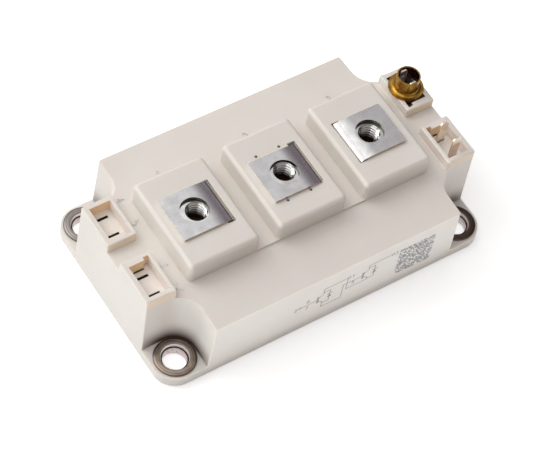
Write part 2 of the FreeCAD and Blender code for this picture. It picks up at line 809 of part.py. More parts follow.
chip_middle = {"left": -(copper_start + copper_end) / 2, "right": (copper_start + track_end) / 2}
for half, side in (("left", -1), ("right", 1)):
    layer(f"bottom_copper_{half}", copper_start, copper_end, -half_copper, half_copper,
          size("plate_thickness"), size("copper_thickness"), side)
    layer(f"ceramic_plate_{half}", ceramic_start, ceramic_end,
          -half_ceramic, half_ceramic, ceramic_bottom, size("ceramic_thickness"), side)
    last = track_end if side > 0 else copper_end
    layer(f"copper_track_{half}_front", copper_start, last, -half_copper, -side_track,
          track_bottom, size("copper_thickness"), side)
    layer(f"copper_track_{half}_rear", copper_start, last, side_track, half_copper,
          track_bottom, size("copper_thickness"), side)
    middle_half = size("middle_track_width") / 2
    if side < 0:
        layer("copper_track_left_middle", copper_start, last, -middle_half, middle_half,
              track_bottom, size("copper_thickness"), side)
    else:
        layer("copper_track_right_inner", copper_start, track_split - size("track_gap") / 2,
              -middle_half, middle_half, track_bottom, size("copper_thickness"), side)
        layer("copper_track_right_outer", track_split + size("track_gap") / 2, last,
              -middle_half, middle_half, track_bottom, size("copper_thickness"), side)
    for row, end in (("front", -1), ("rear", 1)):
        for kind, edge, place in (("transistor", size("transistor_size"), side), ("diode", size("diode_size"), -side)):
            chip_x = chip_middle[half] + place * chip_spacing / 2
            block(f"{kind}_chip_{half}_{row}", chip_x - edge / 2, chip_x + edge / 2,
                  end * chip_row - edge / 2, end * chip_row + edge / 2,
                  track_top, size("chip_thickness"))

control_pads = new_body("control_pads")
control_pads.AllowCompound = True
sketch = new_sketch(control_pads, "XY_Plane", track_bottom)
for label, end, step in TABS:
    pad_y = end * (tab_row + step * tab_pitch / 2)
    rectangle(sketch, copper_end - size("control_pad_length"), copper_end,
              pad_y - size("control_pad_width") / 2, pad_y + size("control_pad_width") / 2)
pad(control_pads, sketch, size("copper_thickness"))

# Bond wires: short loops from each chip to the middle track
wire = size("wire_thickness")
wire_peak = chip_top + size("wire_rise")
landing = size("middle_track_width") / 2 - size("wire_landing")
for half, side in (("left", -1), ("right", 1)):
    wires = new_body(f"bond_wires_{half}")
    wires.AllowCompound = True
    for place, edge, count in ((side, size("transistor_size"), 3), (-side, size("diode_size"), 2)):
        for number in range(count):
            wire_x = (chip_middle[half] + place * chip_spacing / 2
                      + (number - (count - 1) / 2) * size("wire_pitch"))
            sketch = new_sketch(wires, "YZ_Plane", wire_x)
            for end in (-1, 1):
                start = landing - wire
                stop = chip_row - edge / 2 + 4 * wire
                slope = (stop - start) / 4
                outline(sketch, [
                    (end * start, track_top),
                    (end * (start + wire), track_top),
                    (end * (start + slope + wire / 2), wire_peak - wire),
                    (end * (stop - slope - wire / 2), wire_peak - wire),
                    (end * (stop - wire), chip_top),
                    (end * stop, chip_top),
                    (end * (stop - slope), wire_peak),
                    (end * (start + slope), wire_peak),
                ])
            pad(wires, sketch, wire, both_ways=True)

# Silicone gel: one block over the circuit, kept clear of chips, wires, legs and walls
silicone_gel = new_body("silicone_gel")
gap = size("gel_clearance")
sketch = new_sketch(silicone_gel, "XY_Plane", size("plate_thickness"))
gel_side = smaller(hollow_side, seal_y - size("seal_width")) - gap
rectangle(sketch, gap - hollow_x, hollow_x - gap, -gel_side, gel_side)
pad(silicone_gel, sketch, size("gel_top") - size("plate_thickness"))
sketch = new_sketch(silicone_gel, "XY_Plane", size("plate_thickness"))
for side in (-1, 1):
    rectangle(sketch, side * (ceramic_start - gap),
              side * (ceramic_end + gap),
              -(half_ceramic + gap), half_ceramic + gap)
pocket(silicone_gel, sketch, wire_peak + size("gel_head_room") - size("plate_thickness"), upward=True)
sketch = new_sketch(silicone_gel, "XY_Plane", size("gel_top"))
for number, step, leg_side, play, offset in TERMINALS:
    rectangle(sketch, terminal_x[number] + leg_side * (leg_inner - gap),
              terminal_x[number] + leg_side * (half_terminal + gap),
              -offset - size("leg_width") / 2 - gap, -offset + size("leg_width") / 2 + gap)
for label, end, step in TABS:
    foot_y = end * (tab_row + step * tab_pitch / 2)
    rectangle(sketch, pad_x - size("tab_foot_width") / 2 - gap, pad_x + size("tab_foot_width") / 2 + gap,
              foot_y - half_strip - gap, foot_y + half_strip + gap)
pocket(silicone_gel, sketch, size("gel_top") - size("plate_thickness"))

# Checks, then one file for each piece
doc.recompute()
pieces = {}
for item in doc.Objects:
    if "Invalid" in item.State or "Error" in item.State:
        raise RuntimeError(f"{item.Label} failed: {item.getStatusString()}")
    if item.TypeId == "PartDesign::Body" or item.TypeId in ("Part::Box", "Part::Cut"):
        pieces[item.Label] = item
for label, item in pieces.items():
    if item.Shape.isNull() or not item.Shape.isValid() or not item.Shape.Solids:
        raise RuntimeError(f"{label} has no valid solid")
os.makedirs("parts", exist_ok=True)
for label, item in pieces.items():
    item.Shape.exportStep(f"parts/{label}.step")
    print(label, len(item.Shape.Solids), round(item.Shape.Volume, 1))
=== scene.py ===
import math
from functools import cached_property

import bmesh
import bpy
import numpy as np
from mathutils import Matrix, Vector


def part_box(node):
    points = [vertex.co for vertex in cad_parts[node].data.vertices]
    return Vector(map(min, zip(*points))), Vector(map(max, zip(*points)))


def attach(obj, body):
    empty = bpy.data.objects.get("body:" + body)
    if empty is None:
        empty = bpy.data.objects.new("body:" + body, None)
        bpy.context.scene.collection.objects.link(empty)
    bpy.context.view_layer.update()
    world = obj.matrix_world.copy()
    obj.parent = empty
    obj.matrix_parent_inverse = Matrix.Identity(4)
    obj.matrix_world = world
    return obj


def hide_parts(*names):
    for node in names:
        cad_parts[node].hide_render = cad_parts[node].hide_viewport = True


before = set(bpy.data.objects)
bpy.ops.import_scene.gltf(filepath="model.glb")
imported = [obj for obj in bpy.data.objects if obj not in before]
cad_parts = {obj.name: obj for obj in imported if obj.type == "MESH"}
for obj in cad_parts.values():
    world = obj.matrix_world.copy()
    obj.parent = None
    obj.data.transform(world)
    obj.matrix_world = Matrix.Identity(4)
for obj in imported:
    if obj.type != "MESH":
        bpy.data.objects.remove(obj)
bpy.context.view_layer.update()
MM = 0.001


# Places and sizes on the part, in millimetres, measured on the frame where its boxes give them
def cad_box(name):
    return [Vector(corner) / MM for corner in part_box(name)]


def middle(name):
    low, high = cad_box(name)
    return (low + high) / 2


HALF_WIDTH = cad_box("housing")[1].y
REAR_RIGHT_MOUNT = middle("mounting_bush_rear_right")
EYELET = middle("shorting_eyelet")
EYELET_BORE = 3.0
EAR_TOP = 3.7
WALL_TOP = 22.0
WALL_LEAN = 0.15
DECK_TOP = 22.9
ROOF_START = 15.1
TERMINAL_TOP = 30.5
BUSH_TUBE = 4.1
BUSH_FLANGE = 6.0
BUSH_BORE = 3.42
BUSH_LEDGE = 3.18
BUSH_RIM = 4.31

# Boxes where painted light, painted shade or a tone of their own is put, as two corners. The first group is
# mirrored into all four quarters of the part, the second group is used as it stands.
WELLS = ((43.6, 3.6, 22.1), (51.9, 16.6, 25.97))
SOCKETS = ((44.0, 2.9, 22.8), (53.3, 17.3, 25.97))
TAB_SLITS = ((44.9, 4.9, 12.0), (51.8, 15.8, 22.05))
UNDER_SIDE_NUTS = ((22.6, -7.2, 10.0), (33.4, 7.2, 24.3))
NOTCH_FEET = ((36.0, 10.0, 3.75), (53.0, 30.4, 12.0))
SIDE_SCREW_HOLES = ((22.9, 0.0, 29.0), (33.9, 5.2, 31.0))

UNDER_MIDDLE_NUT = ((-5.4, -7.2, 10.0), (5.4, 7.2, 24.3))
COVERED_WELL = ((44.9, 4.6, 15.0), (51.9, 15.9, 25.9))
MIDDLE_SCREW_HOLE = ((-5.6, -6.0, 29.0), (4.4, 4.3, 31.0))
REAR_LEFT_BUSH = ((-54.0, 17.0, 0.0), (-40.0, 31.0, 6.0))
FRONT_RIGHT_BUSH = ((40.0, -31.0, 0.0), (54.0, -17.0, 6.0))
BOX_FADE = 0.05


# Node trees
class Tree:
    """The node tree of a material or the world, with short ways to add nodes and links."""

    def __init__(self, owner, output="OutputMaterial"):
        owner.use_nodes = True
        self.owner = owner
        self.nodes = owner.node_tree.nodes
        self.links = owner.node_tree.links
        self.nodes.clear()
        self.output = self.add(output)

    def add(self, kind, inputs=(), **settings):
        node = self.nodes.new("ShaderNode" + kind)
        for key, value in settings.items():
            setattr(node, key, value)
        for key, value in dict(inputs).items():
            self.feed(node.inputs[key], value)
        return node

    def feed(self, socket, value):
        if isinstance(value, bpy.types.NodeSocket):
            self.links.new(value, socket)
        else:
            socket.default_value = value

    def finish(self, surface):
        self.links.new(surface, self.output.inputs["Surface"])
        return self.owner

    def math(self, operation, *values, clamp=False):
        node = self.add("Math", operation=operation, use_clamp=clamp)
        for socket, value in zip(node.inputs, values):
            self.feed(socket, value)
        return node.outputs[0]

    def times(self, *values):
        result = values[0]
        for value in values[1:]:
            result = self.math("MULTIPLY", result, value)
        return result

    def distance(self, first, second):
        """The length of a line with these two components."""
        squares = [self.times(side, side) for side in (first, second)]
        return self.math("SQRT", self.math("ADD", *squares))

    def vector(self, operation, first, second):
        """Vector maths on two values. A dot product gives a number."""
        node = self.add("VectorMath", {0: first, 1: second}, operation=operation)
        return node.outputs["Value" if operation == "DOT_PRODUCT" else "Vector"]

    def span(self, value, low, high, start=0.0, stop=1.0):
        """From start to stop while the value goes from low to high, and no further."""
        node = self.add("MapRange", {"Value": value, "From Min": low, "From Max": high,
                                     "To Min": start, "To Max": stop})
        return node.outputs["Result"]

    def fade(self, value, low, high, last=0.0):
        """1 up to low, then down to the last value at high."""
        return self.span(value, low, high, 1.0, last)

    def mix(self, factor, first, second):
        node = self.add("Mix", {0: factor}, data_type="RGBA")
        self.feed(node.inputs[6], rgba(first))
        self.feed(node.inputs[7], rgba(second))
        return node.outputs[2]

    def noise(self, scale, detail=3.0, stretch=(1, 1, 1), rough=0.5):
        """Noise with a scale in cells per millimetre, stretched along an axis."""
        place = self.vector("MULTIPLY", self.place, [scale / MM * share for share in stretch])
        node = self.add("TexNoise", {"Vector": place, "Scale": 1.0, "Detail": detail,
                                     "Roughness": rough})
        return node.outputs["Fac"]

    @cached_property
    def place(self):
        return self.add("TexCoord").outputs["Object"]

    @cached_property
    def axes(self):
        return self.add("SeparateXYZ", {"Vector": self.place}).outputs

    @cached_property
    def normal(self):
        return self.add("NewGeometry").outputs["True Normal"]

    @cached_property
    def facing(self):
        """How far the surface faces each way along X, Y and Z, without a sign."""
        parts = self.add("SeparateXYZ", {"Vector": self.normal}).outputs
        return {axis: self.math("ABSOLUTE", parts[axis]) for axis in "XYZ"}

    def inside(self, box, mirrored=True):
        """1 inside a box, 0 outside, with a soft edge. A mirrored box is in all four quarters."""
        result = 1.0
        for axis, start, stop in zip("XYZ", *box):
            centre = (start + stop) / 2 * MM
            half = (stop - start) / 2 * MM
            value = self.axes[axis]
            if mirrored and axis != "Z":
                value = self.math("ABSOLUTE", value)
            away = self.math("ABSOLUTE", self.math("SUBTRACT", value, centre))
            result = self.times(result, self.fade(away, half, half + BOX_FADE * MM))
        return result

    def radius(self, place, mirrored=False):
        """Distance in metres from an upright axis through a place given in millimetres."""
        sides = []
        for axis, centre in zip("XY", place):
            value = self.axes[axis]
            if mirrored:
                value = self.math("ABSOLUTE", value)
            sides.append(self.math("SUBTRACT", value, centre * MM))
        return self.distance(*sides)

    def recess(self, reach):
        """How deep a spot lies in a corner or a hollow: 0 in the open, 1 shut in."""
        node = self.add("AmbientOcclusion", {"Distance": reach * MM}, samples=8, only_local=True)
        return self.math("SUBTRACT", 1.0, node.outputs["AO"])

    def shader(self, inputs, bump, depth):
        """The Principled shader, with bump heights of about that depth in millimetres."""
        lifted = self.add("Bump", {"Height": bump, "Strength": 1.0, "Distance": depth * MM})
        node = self.add("BsdfPrincipled", {**inputs, "Normal": lifted.outputs["Normal"]})
        return self.finish(node.outputs["BSDF"])


def rgba(colour):
    return colour if isinstance(colour, bpy.types.NodeSocket) else (*colour, 1.0)


def srgb(red, green, blue):
    """A colour given as 8-bit screen values."""
    return tuple(v / 12.92 if v <= 0.04045 else ((v + 0.055) / 1.055) ** 2.4
                 for v in (red / 255, green / 255, blue / 255))


# Materials
def plastic():
    """Off-white moulded plastic, with painted light and shade in its sockets, notches and hollows."""
    tree = Tree(bpy.data.materials.new("moulded_plastic"))
    cloud = tree.noise(0.05, 4.0)
    speck = tree.noise(3.0, 2.0)
    flow = tree.noise(0.25, 3.0, (1, 0.35, 0.6))
    colour = tree.mix(tree.span(cloud, 0.3, 0.7), srgb(222, 215, 208), srgb(226, 220, 213))
    colour = tree.mix(tree.span(speck, 0.62, 0.8, 0.0, 0.25), colour, srgb(206, 196, 186))
    # painted shade: corners and creases are darkened towards a warm brown by how shut in they are
    corner = tree.span(tree.recess(1.6), 0.45, 0.85, 0.0, 0.45)
    colour = tree.mix(corner, colour, srgb(176, 130, 88))

    # painted light: the wells are lightened, and the walls that look to the front get a painted warm tan
    # glow of light bounced in the plastic
    well = tree.inside(WELLS)
    along_y = tree.vector("DOT_PRODUCT", tree.normal, (0, 1, 0))
    colour = tree.mix(tree.times(well, 0.5), colour, srgb(250, 240, 232))
    tan = tree.math("MAXIMUM", well, tree.times(tree.inside(SOCKETS), 0.4))
    colour = tree.mix(tree.times(tan, tree.fade(along_y, -0.9, -0.6)), colour, srgb(250, 220, 178))

    # painted shade: the hollows under the nuts and the tab slits are painted nearly black, as they look
    # from outside
    hollow = tree.math("ADD", tree.inside(TAB_SLITS), tree.inside(UNDER_MIDDLE_NUT, mirrored=False))
    hollow = tree.math("ADD", hollow, tree.inside(UNDER_SIDE_NUTS), clamp=True)
    colour = tree.mix(hollow, colour, srgb(92, 66, 48))

    # painted contact shade on the notch walls, less on the ears, round each bush's flange
    beyond = tree.math("SUBTRACT", tree.radius(REAR_RIGHT_MOUNT, mirrored=True), BUSH_FLANGE * MM)
    above = tree.math("SUBTRACT", tree.axes["Z"], 4.4 * MM)
    near = tree.fade(tree.distance(beyond, above), 0.3 * MM, 7.5 * MM)
    wall = tree.fade(tree.facing["Z"], 0.3, 0.8, 0.22)
    painted_contact_shade = tree.times(tree.math("POWER", near, 1.8), tree.inside(NOTCH_FEET), wall)
    colour = tree.mix(painted_contact_shade, colour, srgb(78, 50, 41))

    # shade in the well that the eyelet covers, but not on what its bore shows
    beside_bore = tree.span(tree.radius(EYELET), EYELET_BORE * MM, (EYELET_BORE + 0.3) * MM)
    covered = tree.times(tree.inside(COVERED_WELL, mirrored=False), beside_bore, 0.85)
    colour = tree.mix(covered, colour, srgb(98, 62, 58))

    roughness = tree.span(flow, 0.3, 0.7, 0.42, 0.55)
    grain = tree.math("ADD", tree.times(tree.noise(6.0, 4.0), 0.7), tree.times(flow, 1.2))
    return tree.shader({"Base Color": colour, "Roughness": roughness, "IOR": 1.5,
                        "Subsurface Weight": 0.35, "Subsurface Radius": (1.6, 0.9, 0.55),
                        "Subsurface Scale": MM}, grain, 0.008)


def cut_edges_and_painted_light(tree, tint):
    """The strips' sheared edges: brown to front and rear, a painted highlight at the ends, painted shade in
    the holes.
    """
    upright = tree.fade(tree.facing["Z"], 0.2, 0.5)
    # painted shade inside the screw holes, and a painted highlight on the edges at the ends
    hole = tree.math("ADD", tree.inside(SIDE_SCREW_HOLES), tree.inside(MIDDLE_SCREW_HOLE, mirrored=False))
    tint = tree.mix(tree.span(tree.facing["Y"], 0.8, 0.95), tint, (0.64, 0.53, 0.41))
    tint = tree.mix(tree.span(tree.facing["X"], 0.4, 0.7), tint, (0.97, 0.93, 0.85))
    return tree.mix(tree.times(upright, hole), tint, (0.10, 0.10, 0.07))


def painted_thread_shade(tree, tint):
    """The nuts' threads, with painted shade that darkens them downwards into the bore."""
    deep = tree.span(tree.axes["Z"], 25.0 * MM, 27.8 * MM, 0.94, 0.0)
    return tree.mix(deep, tint, srgb(40, 30, 28))


def metal(name, colour, dark, roughness, grain, fine, tone=None):
    """A worked metal surface: streaks along the grain, stains and small dents. A tone is a
    function that adds colours by place."""
    tree = Tree(bpy.data.materials.new(name))
    streak = tree.noise(fine, 4.0, grain, 0.6)
    stain = tree.noise(0.35, 4.0)
    tint = tree.mix(tree.span(stain, 0.35, 0.7), colour, dark)
    tint = tree.mix(tree.span(streak, 0.3, 0.7, 0.0, 0.25), tint, dark)
    if tone:
        tint = tone(tree, tint)
    rough = tree.math("ADD", tree.span(streak, 0.3, 0.7, roughness * 0.8, roughness * 1.2),
                      tree.span(stain, 0.4, 0.8, 0.0, 0.08))
    height = tree.math("ADD", streak, tree.times(tree.noise(1.2, 3.0), 0.8))
    return tree.shader({"Base Color": tint, "Metallic": 1.0, "Roughness": rough}, height, 0.004)


def bush_metal():
    """Dull turned rings on the flange, a mouth painted near-white as a painted reflection, painted shade
    lines at the rim and the ledge, and a duller bore.
    """
    tree = Tree(bpy.data.materials.new("bush_metal"))
    radius = tree.radius(REAR_RIGHT_MOUNT, mirrored=True)
    height = tree.axes["Z"]
    place = tree.add("CombineXYZ", {"X": tree.times(radius, 4.5 / MM), "Z": tree.times(height, 1.5 / MM)})
    rings = tree.add("TexNoise", {"Vector": place.outputs[0], "Scale": 1.0, "Detail": 3.0}).outputs["Fac"]
    stain = tree.noise(0.5, 4.0)
    tint = tree.mix(tree.span(stain, 0.35, 0.7), (0.40, 0.335, 0.285), (0.30, 0.245, 0.205))
    tint = tree.mix(tree.span(rings, 0.4, 0.65, 0.0, 0.4), tint, (0.20, 0.155, 0.125))

    # one bush is greyer and one darker than the others, and each flange's outer edge gets painted shade
    grey = tree.mix(tree.span(rings, 0.42, 0.58), (0.42, 0.40, 0.40), (0.16, 0.14, 0.14))
    tint = tree.mix(tree.times(tree.inside(REAR_LEFT_BUSH, mirrored=False), 0.7), tint, grey)
    darker = tree.times(tree.inside(FRONT_RIGHT_BUSH, mirrored=False), 0.9)
    tint = tree.mix(darker, tint, (0.06, 0.04, 0.03))
    painted_edge_shade = tree.span(radius, (BUSH_FLANGE - 0.40) * MM, (BUSH_FLANGE - 0.15) * MM)
    tint = tree.mix(painted_edge_shade, tint, (0.15, 0.11, 0.09))

    # the bore: a painted reflection makes the mouth above the ledge near-white, with a painted shade line
    # at the rim and another at the ledge
    bore = tree.fade(radius, 4.06 * MM, 4.14 * MM)
    below_ledge = tree.fade(height, (BUSH_LEDGE - 0.18) * MM, (BUSH_LEDGE - 0.03) * MM)
    tint = tree.mix(bore, tint, tree.mix(below_ledge, (0.98, 0.93, 0.90), (0.60, 0.53, 0.52)))
    for line_height, reach in ((BUSH_LEDGE, 0.05), (BUSH_RIM, 0.07)):
        away = tree.math("ABSOLUTE", tree.math("SUBTRACT", height, line_height * MM))
        line = tree.fade(away, reach * MM, (reach + 0.1) * MM)
        tint = tree.mix(tree.times(bore, line), tint, (0.06, 0.04, 0.04))
    speck = tree.span(tree.noise(2.2, 3.0), 0.56, 0.64, 0.0, 0.9)
    tint = tree.mix(tree.times(bore, below_ledge, speck), tint, (0.20, 0.14, 0.14))

    relief = tree.math("ADD", tree.times(rings, 1.5), stain)
    rough = tree.span(rings, 0.3, 0.7, 0.34, 0.46)
    return tree.shader({"Base Color": tint, "Metallic": 1.0, "Roughness": rough}, relief, 0.02)


def tube_brass():
    """Olive drawn brass, with painted dark red-brown shade inside the tube."""
    tree = Tree(bpy.data.materials.new("drawn_brass"))
    streak = tree.noise(3.0, 4.0, (1, 1, 0.3), 0.6)
    stain = tree.noise(0.45, 4.0)
    tint = tree.mix(tree.span(stain, 0.35, 0.7), (0.54, 0.33, 0.06), (0.30, 0.15, 0.03))
    tint = tree.mix(tree.span(streak, 0.3, 0.7, 0.0, 0.35), tint, (0.20, 0.11, 0.03))
    # painted shade: faces that look in towards the tube's axis are made nearly black red-brown
    from_axis = tree.vector("SUBTRACT", tree.place, EYELET * MM)
    level = tree.vector("MULTIPLY", from_axis, (1 / MM, 1 / MM, 0.0))
    outward = tree.vector("DOT_PRODUCT", level, tree.normal)
    tint = tree.mix(tree.fade(outward, -1.2, -0.6), tint, (0.085, 0.028, 0.022))
    height = tree.math("ADD", streak, tree.times(stain, 0.8))
    rough = tree.span(streak, 0.3, 0.7, 0.18, 0.30)
    return tree.shader({"Base Color": tint, "Metallic": 1.0, "Roughness": rough}, height, 0.006)


def plain(name, colour, other, roughness, scale=0.6, metallic=0.0):
    """A surface that clouds from one colour to another."""
    tree = Tree(bpy.data.materials.new(name))
    cloud = tree.noise(scale, 5.0)
    tint = tree.mix(tree.span(cloud, 0.3, 0.7), colour, other)
    rough = tree.span(tree.noise(scale * 3, 3.0), 0.3, 0.7, roughness * 0.85, roughness * 1.15)
    return tree.shader({"Base Color": tint, "Metallic": metallic, "Roughness": rough}, cloud, 0.01)


ALONG_X = (0.15, 1, 1)
ALONG_X_FINELY = (0.1, 1, 1)
UPWARDS = (1, 1, 0.2)
PLASTIC = plastic()
NICKEL = metal("nickel_plate", (0.66, 0.65, 0.65), (0.54, 0.53, 0.53), 0.22, ALONG_X, 5.0, cut_edges_and_painted_light)
STEEL = metal("zinc_steel", (0.74, 0.74, 0.73), (0.52, 0.51, 0.50), 0.10, UPWARDS, 5.0, painted_thread_shade)
BUSH = bush_metal()
BASE = metal("ground_plate", (0.60, 0.56, 0.52), (0.46, 0.42, 0.38), 0.32, ALONG_X_FINELY, 4.0)
BRASS = tube_brass()
TAB = metal("tinned_brass", (0.96, 0.86, 0.76), (0.80, 0.70, 0.60), 0.30, UPWARDS, 4.0)
COPPER = plain("bright_copper", (0.80, 0.42, 0.26), (0.66, 0.32, 0.19), 0.3, 0.8, 1.0)
CERAMIC = plain("white_alumina", (0.80, 0.80, 0.76), (0.74, 0.74, 0.70), 0.45)
SILICON = plain("chip_silicon", (0.12, 0.13, 0.16), (0.20, 0.20, 0.24), 0.2, 0.5, 0.6)
WIRE = plain("bond_aluminium", (0.82, 0.82, 0.82), (0.70, 0.70, 0.70), 0.3, 1.0, 1.0)
GEL = plain("clear_gel", (0.80, 0.79, 0.74), (0.72, 0.71, 0.66), 0.15)
SEAL = plain("grey_seal", (0.12, 0.12, 0.12), (0.18, 0.18, 0.17), 0.6)
INK = plain("grey_ink", srgb(134, 127, 128), srgb(152, 146, 146), 0.5, 2.0)

NODE_MATERIALS = (
    ("housing", PLASTIC), ("base_plate", BASE), ("adhesive_seal", SEAL), ("mounting_bush", BUSH),
    ("terminal_nut", STEEL), ("main_terminal", NICKEL), ("control_tab", TAB),
    ("shorting_eyelet", BRASS), ("ceramic_plate", CERAMIC), ("bottom_copper", COPPER),
    ("copper_track", COPPER), ("control_pads", COPPER), ("transistor_chip", SILICON),
    ("diode_chip", SILICON), ("bond_wires", WIRE), ("silicone_gel", GEL),
)
for name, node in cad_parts.items():
    for start, material in NODE_MATERIALS:
        if name.startswith(start):
            node.data.materials.clear()
            node.data.materials.append(material)


# Meshes, given in millimetres
def even_normals(mesh, limit):
    """Corner normals weighted by area, so that narrow bevels leave the broad faces flat."""
    work = bmesh.new()
    work.from_mesh(mesh)
    least = math.cos(math.radians(limit))
    normals = []
    for face in work.faces:
        for corner in face.loops:
            total = Vector((0, 0, 0))
            for other in corner.vert.link_faces:
                if other.normal.dot(face.normal) > least:
                    total += other.normal * other.calc_area()
            normals.append(total.normalized() if total.length > 0 else face.normal.copy())
    work.free()
    mesh.normals_split_custom_set(normals)


def piece(name, vertices, faces, material, slot, smooth=35, even=False):
    """A piece of the scene. Edges that turn by more than the smooth angle in degrees stay sharp."""
    mesh = bpy.data.meshes.new(name)
    mesh.from_pydata([tuple(c * MM for c in v) for v in vertices], [], faces)
    mesh.validate()
    work = bmesh.new()
    work.from_mesh(mesh)
    bmesh.ops.remove_doubles(work, verts=work.verts, dist=1e-7)
    bmesh.ops.recalc_face_normals(work, faces=work.faces)
    for face in work.faces:
        face.smooth = smooth > 0
    for edge in work.edges:
        if len(edge.link_faces) == 2 and edge.calc_face_angle(0.0) > math.radians(smooth):
            edge.smooth = False
    work.to_mesh(mesh)
    work.free()
    if even:
        even_normals(mesh, smooth)
    mesh.materials.append(material)
    item = bpy.data.objects.new(name, mesh)
    bpy.context.scene.collection.objects.link(item)
    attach(item, "root")
    return item


def arc(centre, radius, start, stop, steps):
    """Points on an arc, with angles in degrees."""
    angles = [math.radians(start + (stop - start) * k / steps) for k in range(steps + 1)]
    return [(centre[0] + radius * math.cos(a), centre[1] + radius * math.sin(a)) for a in angles]


def circle(centre, radius, steps):
    return arc(centre, radius, 0, 360, steps)[:-1]


def spread(start, length, steps):
    """Evenly spaced places from start on, with both ends."""
    return [start + length * k / steps for k in range(steps + 1)]


def turned(profile, centre, steps=96):
    """A ring turned from a closed profile of (radius, height)."""
    vertices, faces = [], []
    count = len(profile)
    for k in range(steps):
        a = 2 * math.pi * k / steps
        vertices += [(centre.x + r * math.cos(a), centre.y + r * math.sin(a), z) for r, z in profile]
    for k in range(steps):
        m = (k + 1) % steps
        for i in range(count):
            j = (i + 1) % count
            faces.append((k * count + i, k * count + j, m * count + j, m * count + i))
    return vertices, faces


def wall_faces(base, steps, count):
    """Faces round an axis between columns of that many points, the first at a base index."""
    faces = []
    for k in range(steps):
        here = base + k * count
        there = base + (k + 1) % steps * count
        faces += [(here + i, there + i, there + i + 1, here + i + 1) for i in range(count - 1)]
    return faces


# Mounting bushes: a stepped flange and a flared mouth over a ledge and a narrower bore
def bush_profile(low, top):
    edge = 0.25
    mouth_edge = 0.12
    profile = [(BUSH_TUBE, low), (BUSH_TUBE, EAR_TOP), (BUSH_FLANGE - 0.15, EAR_TOP)]
    profile += arc((BUSH_FLANGE - edge, EAR_TOP + edge), edge, 0, 75, 4)
    groove = top - 0.17
    profile += [(5.32, groove + 0.03), (5.26, groove), (5.16, groove), (5.08, top - 0.03), (5.0, top)]
    profile += arc((4.2, top - mouth_edge), mouth_edge, 90, 180, 3)
    profile += [(3.80, BUSH_LEDGE + 0.12), (3.76, BUSH_LEDGE + 0.02), (BUSH_BORE + 0.04, BUSH_LEDGE - 0.02),
                (BUSH_BORE, BUSH_LEDGE - 0.08), (BUSH_BORE, low + 0.1), (BUSH_BORE + 0.08, low)]
    return profile


for label in ("front_left", "front_right", "rear_left", "rear_right"):
    name = f"mounting_bush_{label}"
    low, high = cad_box(name)
    shape = turned(bush_profile(low.z, high.z), middle(name))
    bush = piece(f"bush_{label}", *shape, BUSH, "bush_steel")
    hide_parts(name)

# Captive nuts: a hexagon with turned corners and a cut thread
NUT_HALF = 5.0
NUT_CORNER_ANGLE = math.radians(30)
THREAD_PITCH = 1.0
THREAD_CORE = 2.5
THREAD_ROOT = 3.0
THREAD_MOUTH = 3.15
THREAD_FLAT = 0.12
THREAD_FLANK = 0.66
THREAD_STEPS = 72
THREAD_ROWS = 16


def thread_radius(angle, low, high, z):
    """The bore's radius on the thread. Both ends are countersunk, the lower one less."""
    turn = ((z - low) / THREAD_PITCH - angle / (2 * math.pi)) % 1.0
    tooth = abs(turn - 0.5) * 2
    rise = min(1.0, max(0.0, (tooth - THREAD_FLAT) / THREAD_FLANK))
    from_end = max(0.0, min(high - z, z - low + 0.35))
    return max(THREAD_ROOT - (THREAD_ROOT - THREAD_CORE) * rise, THREAD_MOUTH - from_end)


def threaded_nut(place, low, high):
    """The bore's columns of points first, then the outside's with three points each."""
    angles = [2 * math.pi * k / THREAD_STEPS for k in range(THREAD_STEPS)]
    heights = spread(low, high - low, int((high - low) / THREAD_PITCH * THREAD_ROWS))
    columns = [[(thread_radius(a, low, high, z), z) for z in heights] for a in angles]
    for a in angles:
        from_flat = (a + math.pi / 6) % (math.pi / 3) - math.pi / 6
        outer = NUT_HALF / math.cos(from_flat)
        shoulder = high - (outer - NUT_HALF) * math.tan(NUT_CORNER_ANGLE) - 0.01
        columns.append([(outer, low), (outer, shoulder), (NUT_HALF, high)])
    vertices = []
    for a, column in zip(angles + angles, columns):
        vertices += [(place.x + r * math.cos(a), place.y + r * math.sin(a), z) for r, z in column]
    count = len(heights)
    base = THREAD_STEPS * count
    faces = wall_faces(0, THREAD_STEPS, count) + wall_faces(base, THREAD_STEPS, 3)
    for k in range(THREAD_STEPS):
        m = (k + 1) % THREAD_STEPS
        faces.append((k * count, m * count, base + m * 3, base + k * 3))
        faces.append((k * count + count - 1, m * count + count - 1, base + m * 3 + 2, base + k * 3 + 2))
    return vertices, faces


for number in ("1", "2", "3"):
    name = f"terminal_nut_{number}"
    low, high = cad_box(name)
    shape = threaded_nut(middle(name), low.z, high.z)
    nut = piece(f"threaded_nut_{number}", *shape, STEEL, "nut_steel", 28)
    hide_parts(name)

# Main terminals: punched strips with a rounded rim, crowned towards the bend
STRIP_HALF = 7.45
STRIP_HALF_WIDTH = 7.05
STRIP_THICKNESS = 0.9
STRIP_CORNER = 0.5
STRIP_RIM = 0.14
SCREW_HOLE = 4.1
LEG_HALF_WIDTH = 5.5
OUTER_BEND = 1.6
INNER_BEND = 0.7
CROWN_START = 2.4
CROWN = 0.020
RETURN_DROP = 2.5
RETURN_LENGTH = 5.0
FOOT_BEND = 1.2
FOOT_INNER_BEND = FOOT_BEND - STRIP_THICKNESS
FOOT_BOTTOM = 4.0
FOOT_LENGTH = 4.1


